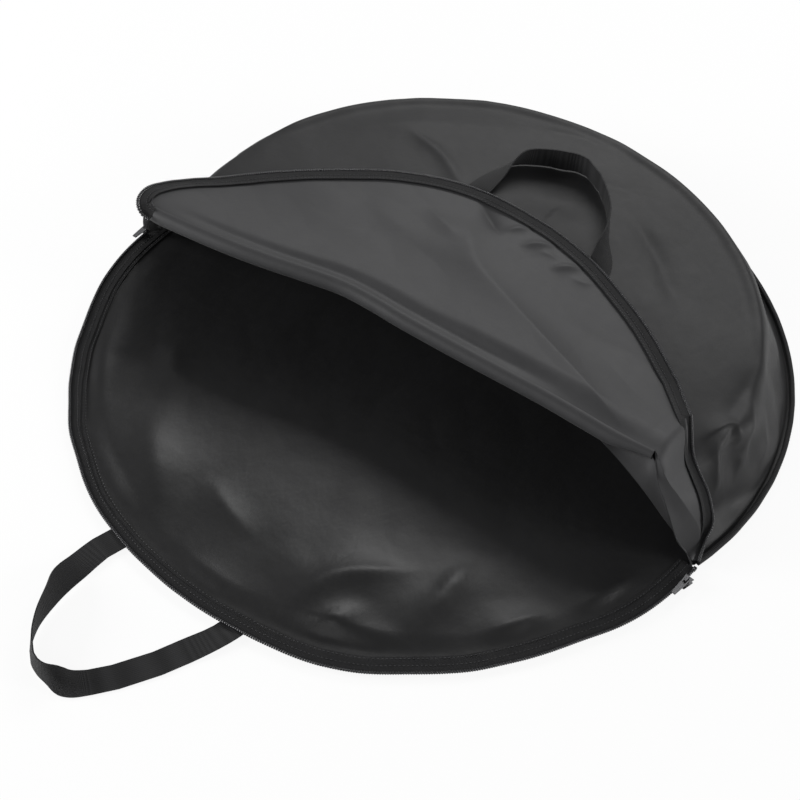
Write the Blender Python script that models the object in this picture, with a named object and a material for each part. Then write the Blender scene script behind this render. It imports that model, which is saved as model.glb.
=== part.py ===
"""A round bag for one bicycle wheel, lying on its back with its zip open and its flap folded back.

Metres, +Z up. The origin is on the floor under the middle of the circle that the zip runs along.
The closed half of the bag is towards +Y, and its mouth opens towards -Y.
"""

from math import asin, atan2, cos, hypot, pi, radians, sin, sqrt

import bmesh
import bpy

# Cloth and clearances
CLOTH = 0.0022
GAP = 0.0003
TRIM = 0.0012
WEBBING = 0.0016
WEBBING_WIDTH = 0.026

# Plan of the bag: the zip's circle in front and the sewn circle behind
NEAR_RADIUS = 0.360
SEAM_SETBACK = 0.084
SEAM_RADIUS = hypot(NEAR_RADIUS, SEAM_SETBACK)
SEAM_BINDING_WIDTH = 0.0045
SEAM_BINDING_HEIGHT = 0.009
SEAM_BINDING_BASE = 0.0008
RIM_END_GAP = 0.004

# The closed half's crown, its ridge over the tyre and its skirt
HUB_HEIGHT = 0.098
RIDGE_HEIGHT = 0.082
SHOULDER_WIDTH = 0.0517
RIDGE_RADIUS = SEAM_RADIUS - SHOULDER_WIDTH
CORNER_LIFT = 0.022
CORNER_LIFT_LENGTH = 0.080
CORNER_LIFT_START = 0.015

# The fold that the flap turns on
FOLD_ANGLE = radians(8.5)
FOLD_SETBACK = -0.027
FOLD_HEIGHT = 0.104
CURL_RADIUS = 0.0068
CURL_SWEEP = radians(165)
MOUTH_SETBACK = 0.011

# The flap: half an oval, as the folded cloth lies
FLAP_HALF_LENGTH = 0.322
FLAP_DEPTH = 0.235
FLAP_END_ANGLE = radians(17)
FLAP_RIDE_HEIGHT = 0.0006
FLAP_ROLL_LENGTH = 0.110
INNER_SHARE = 0.62
BORDER_SHARE = 0.36
BORDER_GAP = 0.0009
TAPE_GAP = 0.0006

# The zip
ZIP_TAPE_WIDTH = 0.0162
ZIP_TAPE_OVERHANG = 0.0022
RIM_BINDING_WIDTH = 0.014
TEETH_WIDTH = 0.0035
TEETH_HEIGHT = 0.0034
TEETH_DROP = 0.0002
TEETH_END_ANGLE = radians(1.3)
STOP_LENGTH = 0.004
SLIDER_REST_ANGLE = radians(4)
SLIDER_LENGTH = 0.0124
SLIDER_WIDTH = 0.0098
SLIDER_PLATE = 0.0012
SLIDER_POST_LENGTH = 0.006
SLIDER_POST_WIDTH = 0.0016
SLIDER_CLEARANCE = 0.0004
ARCH_LENGTH = 0.0070
ARCH_WIDTH = 0.0020
ARCH_HEIGHT = 0.0036
ARCH_BAR = 0.0012
PULL_PIN_RADIUS = 0.0005
PULL_WIDTH = 0.0064
PULL_ARM = 0.0014
PULL_THICKNESS = 0.0010
PULL_NECK = 0.0060
PULL_LENGTH = 0.0230
PULL_TAIL_SHARE = 0.72

# The two carrying handles
BACK_HANDLE_SPACING = 0.150
BACK_HANDLE_SHIFT = -0.010
BACK_HANDLE_DEPTH = 0.122
BACK_HINGE_SETBACK = 0.0125
BACK_HANDLE_BASE = 0.0003
FRONT_HANDLE_SPACING = 0.162
FRONT_HANDLE_SHIFT = 0.034
FRONT_HANDLE_DEPTH = 0.106
FRONT_HINGE_SETBACK = 0.010
FRONT_HANDLE_RIDE = 0.0006
FRONT_HANDLE_DROP_LENGTH = 0.045
TAIL_LENGTH = 0.040

# Shares that shape the outlines
HANDLE_SQUARENESS_SHARE = 0.62
SLIDER_NOSE_SHARE = 0.62
CORNER_ROUNDING_SHARE = 0.1
ROW_CROWDING_SHARE = 1.6

# Facets
SMOOTH_ANGLE = radians(40)
ROUND_SIDES = 96
PIN_SIDES = 10
TAIL_STEPS = 6
ARC_STEPS = 48
CROWN_COLUMNS = 36
CROWN_ROWS = 13
FLAP_COLUMNS = 26
CURL_STEPS = 6
FLAP_ROWS = 6
HANDLE_STEPS = 30


def remove_everything():
    for thing in list(bpy.data.objects):
        bpy.data.objects.remove(thing, do_unlink=True)


def finish(name, colour, roughness, metallic=0.0):
    """A Principled material of one colour."""
    material = bpy.data.materials.new(name)
    material.use_nodes = True
    shader = material.node_tree.nodes["Principled BSDF"]
    shader.inputs["Base Color"].default_value = (*colour, 1.0)
    shader.inputs["Roughness"].default_value = roughness
    shader.inputs["Metallic"].default_value = metallic
    material.diffuse_color = (*colour, 1.0)
    return material


def piece(name, bm, material, location=(0, 0, 0), turn=0.0, parent=None):
    """Puts a bmesh in the scene as one named object."""
    bmesh.ops.recalc_face_normals(bm, faces=bm.faces)
    mesh = bpy.data.meshes.new(name)
    bm.to_mesh(mesh)
    bm.free()
    mesh.materials.append(material)
    thing = bpy.data.objects.new(name, mesh)
    thing.location = location
    thing.rotation_euler = (0, 0, turn)
    thing.parent = parent
    bpy.context.scene.collection.objects.link(thing)
    return thing


def round_off(thing, angle):
    """Shades the wide bends of a piece smooth and keeps its edges sharp."""
    thing.data.shade_smooth()
    thing.data.set_sharp_from_angle(angle=angle)


def smooth_step(share):
    share = min(max(share, 0.0), 1.0)
    return share * share * (3 - 2 * share)


def between(low, high, share):
    return low + (high - low) * share


def sheet(name, place, columns, rows, thickness, material, upward=False, **where):
    """A flat grid laid out by place(share along, share across) and thickened into one closed cloth."""
    bm = bmesh.new()
    bmesh.ops.create_grid(bm, x_segments=columns, y_segments=rows, size=1)
    for vertex in bm.verts:
        vertex.co = place((vertex.co.x + 1) / 2, (vertex.co.y + 1) / 2)
    thing = piece(name, bm, material, **where)
    bm = bmesh.new()
    bm.from_mesh(thing.data)
    if sum(face.normal.z * face.calc_area() for face in bm.faces) < 0:
        bmesh.ops.reverse_faces(bm, faces=bm.faces)
    bm.to_mesh(thing.data)
    bm.free()
    solid = thing.modifiers.new("thickness", "SOLIDIFY")
    solid.thickness = thickness
    solid.offset = 1 if upward else -1
    round_off(thing, SMOOTH_ANGLE)
    return thing


def block(bm, size, middle):
    """A box in a bmesh, given its size and its middle."""
    made = bmesh.ops.create_cube(bm, size=1)
    bmesh.ops.scale(bm, vec=size, verts=made["verts"])
    bmesh.ops.translate(bm, vec=middle, verts=made["verts"])
    return made["verts"]


def joined(name, parts, material, **where):
    """Fuses several closed meshes into one body with exact unions."""
    base = piece(name, parts[0], material, **where)
    for number, part in enumerate(parts[1:]):
        cutter = piece(f"{name}_tool_{number}", part, material, **where)
        cutter.hide_render = True
        cutter.display_type = "WIRE"
        union = base.modifiers.new(f"union {number}", "BOOLEAN")
        union.operation = "UNION"
        union.solver = "EXACT"
        union.object = cutter
    return base


# Heights that stack on the floor, from the bottom up

RIM_BINDING_BASE = CLOTH + GAP
ZIP_TAPE_BASE = RIM_BINDING_BASE + TRIM + GAP
TEETH_BASE = ZIP_TAPE_BASE - TEETH_DROP
TEETH_TOP = TEETH_BASE + TEETH_HEIGHT
TEETH_INNER_RADIUS = NEAR_RADIUS + ZIP_TAPE_OVERHANG + GAP
TEETH_RADIUS = TEETH_INNER_RADIUS + TEETH_WIDTH / 2
SEAM_HEIGHT = 2 * CLOTH + 2 * GAP


def crown_height(x, y):
    """Height of the crown over the wheel, which falls from the hub to the ridge over the tyre."""
    out = hypot(x, y - SEAM_SETBACK) / RIDGE_RADIUS
    return HUB_HEIGHT - (HUB_HEIGHT - RIDGE_HEIGHT) * out**2


def closed_half_height(x, y):
    """Height of the closed half's outer face, down its skirt to the sewn seam."""
    reach = hypot(x, y - SEAM_SETBACK)
    fall = smooth_step((reach - RIDGE_RADIUS) / (SEAM_RADIUS - RIDGE_RADIUS))
    lift = CORNER_LIFT * smooth_step((CORNER_LIFT_START - y) / CORNER_LIFT_LENGTH)
    return between(crown_height(x, y), SEAM_HEIGHT + lift, fall)


def fold_to_plan(along, depth):
    """Plan position of a point given along the fold and back from it."""
    x = along * cos(FOLD_ANGLE) - depth * sin(FOLD_ANGLE)
    y = along * sin(FOLD_ANGLE) + depth * cos(FOLD_ANGLE) + FOLD_SETBACK
    return x, y


def mouth_end(side):
    """How far along the fold the mouth's edge meets the sewn circle, to the left (-1) or right (1)."""
    x, y = fold_to_plan(0, MOUTH_SETBACK)
    y -= SEAM_SETBACK
    toward = x * cos(FOLD_ANGLE) + y * sin(FOLD_ANGLE)
    return -toward + side * sqrt(toward**2 - x**2 - y**2 + SEAM_RADIUS**2)


def seam_angle(x, y):
    return atan2(y - SEAM_SETBACK, x)


# The back panel


def panel_outline(angle):
    """A point of the back panel's edge, seen from the middle between its two circles."""
    x, y = cos(angle), sin(angle)
    middle = SEAM_SETBACK / 2
    near = -middle * y + sqrt((middle * y) ** 2 - middle**2 + NEAR_RADIUS**2)
    far = middle * y + sqrt((middle * y) ** 2 - middle**2 + (SEAM_RADIUS - TRIM) ** 2)
    reach = near if middle + near * y < 0 else far
    return reach * x, middle + reach * y


def make_back_panel(material):
    bm = bmesh.new()
    ring = bmesh.ops.create_circle(bm, cap_ends=True, segments=ROUND_SIDES, radius=1)["verts"]
    for vertex in ring:
        x, y = panel_outline(atan2(vertex.co.y, vertex.co.x))
        vertex.co = (x, y, 0)
    raised = bmesh.ops.extrude_face_region(bm, geom=bm.faces[:])["geom"]
    tops = [item for item in raised if isinstance(item, bmesh.types.BMVert)]
    bmesh.ops.translate(bm, vec=(0, 0, CLOTH), verts=tops)
    return piece("back_panel", bm, material)


# The closed half of the front panel, and the seam round it


def make_front_panel(material):
    left, right = mouth_end(-1), mouth_end(1)
    inset = 2 * CLOTH / SEAM_RADIUS
    left_angle = seam_angle(*fold_to_plan(left, MOUTH_SETBACK)) + 2 * pi + inset
    right_angle = seam_angle(*fold_to_plan(right, MOUTH_SETBACK)) - inset

    def place(share_along, share_back):
        x, y = fold_to_plan(between(left, right, share_along), MOUTH_SETBACK)
        angle = between(left_angle, right_angle, share_along)
        lip = 1 - (1 - 2 * share_along) ** 2
        reach = between(SEAM_RADIUS - CLOTH, SEAM_RADIUS, share_back * lip**CORNER_ROUNDING_SHARE)
        far_x, far_y = reach * cos(angle), SEAM_SETBACK + reach * sin(angle)
        drop = 1 - (1 - share_back) ** ROW_CROWDING_SHARE
        x, y = between(x, far_x, drop), between(y, far_y, drop)
        return x, y, closed_half_height(x, y)

    return sheet("front_panel", place, CROWN_COLUMNS, CROWN_ROWS, CLOTH, material)


def arc_band(name, start, end, inner, outer, base, height, middle_y, material, **where):
    """A flat band along an arc round (0, middle_y)."""

    def place(share_along, share_out):
        angle = between(start, end, share_along)
        reach = between(inner, outer, share_out)
        return reach * cos(angle), middle_y + reach * sin(angle), base

    return sheet(name, place, ARC_STEPS, 1, height, material, upward=True, **where)


def make_seam_binding(material):
    reach = SEAM_RADIUS + GAP
    start = asin((RIM_END_GAP - SEAM_SETBACK) / reach)
    outer = reach + SEAM_BINDING_WIDTH
    return arc_band(
        "closed_seam_binding", start, pi - start, reach, outer,
        SEAM_BINDING_BASE, SEAM_BINDING_HEIGHT, SEAM_SETBACK, material,
    )


# The zip's half on the back panel, with its end stops


def make_near_rim(cloth, teeth, metal):
    tack = RIM_END_GAP / NEAR_RADIUS
    start, end = pi + tack, 2 * pi - tack
    arc_band(
        "back_rim_binding", start, end, NEAR_RADIUS - RIM_BINDING_WIDTH, NEAR_RADIUS,
        RIM_BINDING_BASE, TRIM, 0, cloth,
    )
    tape_edge = NEAR_RADIUS + ZIP_TAPE_OVERHANG
    arc_band(
        "back_zip_tape", start, end, tape_edge - ZIP_TAPE_WIDTH, tape_edge,
        ZIP_TAPE_BASE, TRIM, 0, cloth,
    )
    first, last = pi + TEETH_END_ANGLE, 2 * pi - TEETH_END_ANGLE
    arc_band(
        "back_zip_teeth", first, last, TEETH_INNER_RADIUS, TEETH_INNER_RADIUS + TEETH_WIDTH,
        TEETH_BASE, TEETH_HEIGHT, 0, teeth,
    )
    for name, angle in (("left", first), ("right", last)):
        bm = bmesh.new()
        back = (STOP_LENGTH / 2 + GAP) * (1 if name == "right" else -1)
        size = (TEETH_WIDTH, STOP_LENGTH, TEETH_HEIGHT)
        block(bm, size, (TEETH_RADIUS, back, TEETH_BASE + TEETH_HEIGHT / 2))
        piece(f"{name}_zip_stop", bm, metal, turn=angle)


# The flap, folded back over the closed half


BORDER_LIFT = CLOTH + BORDER_GAP


def flap_lift(along, depth, extra):
    """Height over the fold's axis of a face of the flap that lies back on the crown."""
    x, y = fold_to_plan(along, depth)
    lying = crown_height(x, y) + FLAP_RIDE_HEIGHT + extra + CLOTH - FOLD_HEIGHT
    rolled = CURL_RADIUS + CLOTH / 2 + extra
    return between(max(rolled, lying), lying, smooth_step(depth / FLAP_ROLL_LENGTH))


def flap_point(turn, share, outward=0.0, extra=0.0):
    """A point of the flap's upper face: its turn round the oval, and its share of the way out."""
    along = FLAP_HALF_LENGTH * cos(turn)
    depth = FLAP_DEPTH * sin(turn) * share
    if outward:
        slope_x, slope_y = FLAP_DEPTH * cos(turn), FLAP_HALF_LENGTH * sin(turn)
        size = hypot(slope_x, slope_y)
        along += outward * slope_x / size
        depth += outward * slope_y / size
    return along, depth, flap_lift(along, depth, extra)


def make_flap_panel(material):
    """The half next to the fold, whose edge curls round the fold's axis."""
    rows = CURL_STEPS + FLAP_ROWS
    curl = CURL_STEPS / rows

    def place(share_along, share_back):
        turn = between(pi - FLAP_END_ANGLE, FLAP_END_ANGLE, share_along)
        if share_back <= curl:
            angle = pi / 2 + CURL_SWEEP * (1 - share_back / curl)
            reach = CURL_RADIUS + CLOTH / 2
            return FLAP_HALF_LENGTH * cos(turn), reach * cos(angle), reach * sin(angle)
        return flap_point(turn, (share_back - curl) / (1 - curl) * INNER_SHARE)

    return sheet(
        "flap_panel", place, FLAP_COLUMNS, rows, CLOTH, material,
        location=(0, FOLD_SETBACK, FOLD_HEIGHT), turn=FOLD_ANGLE,
    )


def flap_band(name, inner, outer, extra, thickness, material, rows=1, share=1.0, steps=ARC_STEPS):
    """A strip along the flap's edge, between two distances out from the oval."""

    def place(share_along, share_out):
        turn = between(pi - FLAP_END_ANGLE, FLAP_END_ANGLE, share_along)
        far = flap_point(turn, 1.0, outer, extra)
        if share < 1.0:
            return flap_point(turn, between(share, 1.0, share_out), outer * share_out, extra)
        near = flap_point(turn, 1.0, inner, extra)
        level = max(near[2], far[2])
        return between(near[0], far[0], share_out), between(near[1], far[1], share_out), level

    return sheet(
        name, place, steps, rows, thickness, material,
        location=(0, FOLD_SETBACK, FOLD_HEIGHT), turn=FOLD_ANGLE,
    )


def make_flap_edge(cloth, tape, teeth):
    """The flap's outer half, and its half of the zip."""
    border_edge = -ZIP_TAPE_OVERHANG - TEETH_WIDTH
    flap_band(
        "flap_border", 0, border_edge, BORDER_LIFT, CLOTH, cloth,
        rows=FLAP_ROWS, share=BORDER_SHARE, steps=FLAP_COLUMNS,
    )
    tape_lift = BORDER_LIFT + TAPE_GAP + TRIM
    tape_edge = border_edge + ZIP_TAPE_OVERHANG
    flap_band("flap_zip_tape", tape_edge - ZIP_TAPE_WIDTH, tape_edge, tape_lift, TRIM, tape)
    flap_band(
        "flap_zip_teeth", tape_edge + GAP, tape_edge + GAP + TEETH_WIDTH,
        tape_lift + TEETH_HEIGHT - TRIM - TEETH_DROP, TEETH_HEIGHT, teeth,
    )


# Handles of webbing


def handle_path(spacing, depth, angle, outward):
    """A point of the handle's loop, outward of its middle line."""
    half = spacing / 2
    x = half * cos(angle)
    y = depth * max(sin(angle), 0.0) ** HANDLE_SQUARENESS_SHARE
    lean_x, lean_y = cos(angle) * depth, sin(angle) * half
    size = hypot(lean_x, lean_y)
    return x + outward * lean_x / size, y + outward * lean_y / size


def loop_band(name, spacing, depth, height_of, material, **where):
    """A loop of webbing laid flat, from one end of the handle to the other."""

    def place(share_along, share_out):
        angle = pi * (1 - share_along)
        x, y = handle_path(spacing, depth, angle, (share_out - 1 / 2) * WEBBING_WIDTH)
        return x, y, height_of(x, y)

    return sheet(name, place, HANDLE_STEPS, 2, WEBBING, material, upward=True, **where)


def make_back_handle(material):
    hinge_y = -(NEAR_RADIUS + BACK_HINGE_SETBACK)
    where = {"location": (BACK_HANDLE_SHIFT, hinge_y, BACK_HANDLE_BASE), "turn": pi}
    loop_band(
        "back_handle_loop", BACK_HANDLE_SPACING, BACK_HANDLE_DEPTH,
        lambda x, y: 0.0, material, **where,
    )
    for name, side in (("left", -1), ("right", 1)):
        middle = BACK_HANDLE_SHIFT + side * BACK_HANDLE_SPACING / 2

        def place(share_along, share_out, middle=middle):
            x = middle + (share_along - 1 / 2) * WEBBING_WIDTH
            rim = -sqrt((NEAR_RADIUS + GAP) ** 2 - x**2)
            return x, between(hinge_y + GAP, rim, share_out), BACK_HANDLE_BASE

        sheet(f"back_handle_{name}_tail", place, TAIL_STEPS, 2, WEBBING, material, upward=True)


TAIL_LIFT = FLAP_RIDE_HEIGHT + BORDER_LIFT - WEBBING - GAP


def front_handle_hinge():
    """The line where the front handle leaves the flap: its place along and back from the fold, its base."""
    edge = FLAP_DEPTH + FRONT_HINGE_SETBACK
    return FRONT_HANDLE_SHIFT, edge, crown_height(*fold_to_plan(FRONT_HANDLE_SHIFT, edge)) + TAIL_LIFT


def make_front_handle(material):
    shift, edge, base = front_handle_hinge()
    x, y = fold_to_plan(shift, edge)

    def resting(along, depth):
        ground = closed_half_height(*fold_to_plan(shift + along, edge + depth))
        drop = smooth_step(depth / FRONT_HANDLE_DROP_LENGTH)
        return between(ground + TAIL_LIFT, ground + FRONT_HANDLE_RIDE, drop) - base

    loop_band(
        "front_handle_loop", FRONT_HANDLE_SPACING, FRONT_HANDLE_DEPTH,
        resting, material, location=(x, y, base), turn=FOLD_ANGLE,
    )
    for name, side in (("left", -1), ("right", 1)):
        middle = side * FRONT_HANDLE_SPACING / 2

        def place(share_along, share_out, middle=middle):
            along = middle + (share_along - 1 / 2) * WEBBING_WIDTH
            depth = between(-TAIL_LENGTH, -GAP, share_out)
            return along, depth, resting(along, depth)

        sheet(
            f"front_handle_{name}_tail", place, 2, TAIL_STEPS, WEBBING, material,
            upward=True, location=(x, y, base), turn=FOLD_ANGLE,
        )


# Sliders and their pulls


def slider_plate(base):
    """One plate of a slider, narrower at its nose."""
    bm = bmesh.new()
    middle = TEETH_INNER_RADIUS + SLIDER_WIDTH / 2 - SLIDER_CLEARANCE
    verts = block(bm, (SLIDER_WIDTH, SLIDER_LENGTH, SLIDER_PLATE), (0, 0, base + SLIDER_PLATE / 2))
    for vertex in verts:
        if vertex.co.y > 0:
            vertex.co.x *= SLIDER_NOSE_SHARE
    bmesh.ops.translate(bm, vec=(middle, 0, 0), verts=verts)
    return bm, middle


def make_slider(name, angle, forward, metal):
    """A slider round the teeth, with an arch for its pull. forward is -1 where it closes towards -angle."""
    bottom_base = TEETH_BASE - SLIDER_CLEARANCE - SLIDER_PLATE
    top_base = TEETH_TOP + SLIDER_CLEARANCE
    bottom, middle = slider_plate(bottom_base)
    top, middle = slider_plate(top_base)
    post = bmesh.new()
    post_x = TEETH_INNER_RADIUS + TEETH_WIDTH + SLIDER_CLEARANCE + SLIDER_POST_WIDTH / 2
    post_height = top_base - bottom_base
    block(
        post, (SLIDER_POST_WIDTH, SLIDER_POST_LENGTH, post_height),
        (post_x, 0, bottom_base + SLIDER_PLATE / 2 + post_height / 2),
    )
    arch_base = top_base + SLIDER_PLATE / 2
    arch_top = top_base + SLIDER_PLATE + ARCH_HEIGHT
    parts = [top, bottom, post]
    for side in (-1, 1):
        leg = bmesh.new()
        size = (ARCH_WIDTH, ARCH_BAR, arch_top - arch_base)
        place = (middle, side * (ARCH_LENGTH - ARCH_BAR) / 2, (arch_top + arch_base) / 2)
        block(leg, size, place)
        parts.append(leg)
    bar = bmesh.new()
    block(bar, (ARCH_WIDTH, ARCH_LENGTH, ARCH_BAR), (middle, 0, arch_top - ARCH_BAR / 2))
    parts.append(bar)
    if forward < 0:
        for bm in parts:
            bmesh.ops.scale(bm, vec=(1, -1, 1), verts=bm.verts)
    slider = joined(f"{name}_slider", parts, metal, turn=angle)

    pin_height = top_base + SLIDER_PLATE + (ARCH_HEIGHT - ARCH_BAR) / 2
    pin = bmesh.new()
    reach = PULL_WIDTH / 2
    bmesh.ops.create_cone(
        pin, cap_ends=True, segments=PIN_SIDES, radius1=PULL_PIN_RADIUS, radius2=PULL_PIN_RADIUS,
        depth=PULL_WIDTH - PULL_ARM,
    )
    for vertex in pin.verts:
        vertex.co = (vertex.co.z, vertex.co.y, vertex.co.x)
    parts = [pin]
    for side in (-1, 1):
        arm = bmesh.new()
        length = PULL_NECK + 2 * PULL_THICKNESS
        place = (side * (reach - PULL_ARM / 2), length / 2 - PULL_THICKNESS, 0)
        block(arm, (PULL_ARM, length, PULL_THICKNESS), place)
        parts.append(arm)
    tab = bmesh.new()
    length = PULL_LENGTH - PULL_NECK
    verts = block(tab, (PULL_WIDTH, length, PULL_THICKNESS), (0, PULL_NECK + length / 2, 0))
    for vertex in verts:
        if vertex.co.y > PULL_NECK + length / 2:
            vertex.co.x *= PULL_TAIL_SHARE
    parts.append(tab)
    if forward < 0:
        for bm in parts:
            bmesh.ops.scale(bm, vec=(1, -1, 1), verts=bm.verts)
    pull = joined(f"{name}_slider_pull", parts, metal)
    for thing in [pull] + [item for item in bpy.data.objects if item.name.startswith(pull.name + "_tool")]:
        thing.parent = slider
        thing.location = (middle, 0, pin_height)
    return slider, pull


def main():
    remove_everything()
    cloth = finish("black coated cloth", (0.035, 0.035, 0.037), 0.42)
    lining = finish("black lining", (0.020, 0.020, 0.021), 0.50)
    tape = finish("black zip tape", (0.014, 0.014, 0.015), 0.75)
    teeth = finish("black zip teeth", (0.022, 0.022, 0.024), 0.35)
    webbing = finish("black webbing", (0.016, 0.016, 0.017), 0.80)
    metal = finish("nickel plate", (0.55, 0.55, 0.56), 0.30, 1.0)
    make_back_panel(lining)
    make_front_panel(cloth)
    make_seam_binding(tape)
    make_near_rim(tape, teeth, metal)
    make_flap_panel(cloth)
    make_flap_edge(cloth, tape, teeth)
    make_back_handle(webbing)
    make_front_handle(webbing)
    make_slider("left", pi + SLIDER_REST_ANGLE, 1, metal)
    make_slider("right", 2 * pi - SLIDER_REST_ANGLE, -1, metal)


main()
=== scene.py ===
# %% [markdown]
# # Bike wheel bag
#
# The bag lies on its back. Its zip is open along half of its rim, and the freed half of its front
# panel, the flap, is folded back over the closed half. Each cell below makes one part of the bag
# over the CAD frame, in metres, and prints what it made. A picture of the bag could be had with one
# mesh, but the flap, the handles and the sliders move, so the bag is made of many pieces. Those
# that sit on the bag ride on its body, and the rest are baked in place.

# %% Load the frame
from math import atan2, cos, exp, hypot, pi, radians, sin, sqrt

import bmesh
import bpy
import numpy as np
from mathutils import Matrix, Vector, noise


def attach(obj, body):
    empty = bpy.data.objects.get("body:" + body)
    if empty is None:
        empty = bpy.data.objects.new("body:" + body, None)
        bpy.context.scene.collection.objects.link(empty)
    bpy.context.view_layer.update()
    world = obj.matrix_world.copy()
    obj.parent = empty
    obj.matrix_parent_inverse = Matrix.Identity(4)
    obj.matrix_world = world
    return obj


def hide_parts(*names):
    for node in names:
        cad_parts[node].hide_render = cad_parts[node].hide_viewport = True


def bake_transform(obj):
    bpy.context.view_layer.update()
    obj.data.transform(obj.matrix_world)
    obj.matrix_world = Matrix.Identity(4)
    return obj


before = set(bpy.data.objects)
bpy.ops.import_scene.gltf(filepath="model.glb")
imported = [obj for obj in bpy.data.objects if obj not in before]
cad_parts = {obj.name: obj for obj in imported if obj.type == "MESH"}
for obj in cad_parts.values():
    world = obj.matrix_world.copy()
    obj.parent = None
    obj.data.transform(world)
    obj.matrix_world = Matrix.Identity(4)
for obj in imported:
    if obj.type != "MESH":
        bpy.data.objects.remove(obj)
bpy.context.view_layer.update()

# %% [markdown]
# ## Sizes that come from the part
#
# The zip runs along a circle round the origin, and the sewn seam along a second circle further
# back. The closed half of the front panel arches up to a low crown. Heights could be read off the
# frame's meshes, but every cloth has to meet its neighbours, so they come from a few formulas.

# %% Sizes and heights
CLOTH = 0.0022
SHEET = 0.0012
NEAR_RADIUS = 0.36
SEAM_SETBACK = 0.084
SEAM_RADIUS = hypot(NEAR_RADIUS, SEAM_SETBACK)
RIDGE_RADIUS = SEAM_RADIUS - 0.0517
CROWN_HEIGHT, RIDGE_HEIGHT, SEAM_HEIGHT = 0.098, 0.082, 0.005
FOLD_ANGLE = radians(8.5)
FOLD_SETBACK, FOLD_HEIGHT = -0.027, 0.104
ROLL_RADIUS = 0.0079
ROLL_LENGTH = 0.11
EDGE_START, EDGE_END = 0.1, 0.235


def smooth_step(share):
    share = min(max(share, 0.0), 1.0)
    return share * share * (3 - 2 * share)


def between(low, high, share):
    return low + (high - low) * share


def crown_height(x, y):
    """Height of the crown, which falls from its middle to the ridge near its rim."""
    out = hypot(x, y - SEAM_SETBACK) / RIDGE_RADIUS
    return CROWN_HEIGHT - (CROWN_HEIGHT - RIDGE_HEIGHT) * out**2


def closed_half_height(x, y):
    """Height of the closed half, down its skirt to the sewn seam."""
    reach = hypot(x, y - SEAM_SETBACK)
    fall = smooth_step((reach - RIDGE_RADIUS) / (SEAM_RADIUS - RIDGE_RADIUS))
    lift = 0.022 * smooth_step((0.015 - y) / 0.08)
    return between(crown_height(x, y), SEAM_HEIGHT + lift, fall)


def fold_to_plan(along, depth):
    """Plan position of a point given along the fold and back from it."""
    x = along * cos(FOLD_ANGLE) - depth * sin(FOLD_ANGLE)
    y = along * sin(FOLD_ANGLE) + depth * cos(FOLD_ANGLE) + FOLD_SETBACK
    return x, y


def plan_to_fold(x, y):
    along = x * cos(FOLD_ANGLE) + (y - FOLD_SETBACK) * sin(FOLD_ANGLE)
    depth = -x * sin(FOLD_ANGLE) + (y - FOLD_SETBACK) * cos(FOLD_ANGLE)
    return along, depth


print("the crown is", round(crown_height(0, SEAM_SETBACK), 3), "m high")

# %% [markdown]
# ## Camera
#
# The camera looks down at the bag from the front right through a short telephoto lens. It could
# be aimed by eye, but its place and its turn were fitted to the outline of the bag, so that the
# render can be laid over the photograph.

# %% Camera
camera_data = bpy.data.cameras.new("camera")
camera_data.lens = 72
camera_data.sensor_width = 36
camera = bpy.data.objects.new("camera", camera_data)
bpy.context.scene.collection.objects.link(camera)
CAMERA_PLACE = Vector((0.6218, -0.9708, 1.2804))
CAMERA_AIM = Vector((0.0318, -0.0643, 0.05))
CAMERA_RIGHT = Vector((0.7914, 0.6017, 0.1082))
CAMERA_TILT = 0.001
back = (CAMERA_PLACE - CAMERA_AIM).normalized()
right = (CAMERA_RIGHT - CAMERA_RIGHT.dot(back) * back).normalized()
turn = Matrix((right, back.cross(right), back)).transposed() @ Matrix.Rotation(CAMERA_TILT, 3, "Z")
camera.matrix_world = Matrix.Translation(CAMERA_PLACE) @ turn.to_4x4()
bpy.context.scene.camera = camera
bpy.context.scene.view_settings.view_transform = "Standard"
print("the camera stands", round(CAMERA_PLACE.z, 2), "m high")

# %% [markdown]
# ## Shader maths
#
# The finishes below are sums of waves and noise. Their nodes could be wired one by one, but a sum
# is easier to read, so one small class lets sockets be added and multiplied like numbers.

# %% A small language for shaders


class Wire:
    """A socket of a shader tree that can be added, subtracted and multiplied like a number."""

    def __init__(self, tree, socket=None):
        self.tree, self.socket = tree, socket

    def node(self, kind, inputs, output=0, **settings):
        """Makes one node, sets it, wires its inputs and gives back one of its outputs."""
        made = self.tree.nodes.new(kind)
        for key, value in settings.items():
            setattr(made, key, value)
        for place, value in inputs.items():
            if isinstance(value, Wire):
                self.tree.links.new(value.socket, made.inputs[place])
            else:
                made.inputs[place].default_value = value
        return Wire(self.tree, made.outputs[output])

    def maths(self, operation, *values):
        return self.node("ShaderNodeMath", dict(enumerate(values)), operation=operation)

    def __rsub__(self, other):
        return self.maths("SUBTRACT", other, self)

    def __add__(self, other):
        return self.maths("ADD", self, other)

    def __sub__(self, other):
        return self.maths("SUBTRACT", self, other)

    def __mul__(self, other):
        return self.maths("MULTIPLY", self, other)

    __radd__, __rmul__ = __add__, __mul__

    def wave(self):
        """A sine wave from 0 to 1."""
        return self.maths("SINE", self) * 0.5 + 0.5

    def noise(self, scale, detail=3.0, rough=0.5, stretch=(1, 1, 1)):
        """Soft noise at a point, from about 0 to 1."""
        spread = self.node("ShaderNodeVectorMath", {0: self, 1: stretch}, operation="MULTIPLY")
        inputs = {"Vector": spread, "Scale": scale, "Detail": detail, "Roughness": rough}
        return self.node("ShaderNodeTexNoise", inputs)

    def mix(self, low, high):
        """A colour between two, by this share."""
        inputs = {0: self, 6: (*low, 1), 7: (*high, 1)}
        return self.node("ShaderNodeMix", inputs, 2, data_type="RGBA")

    def bump(self, strength, distance, under=None):
        inputs = {"Height": self, "Strength": strength, "Distance": distance}
        if under is not None:
            inputs["Normal"] = under
        return self.node("ShaderNodeBump", inputs)


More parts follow.
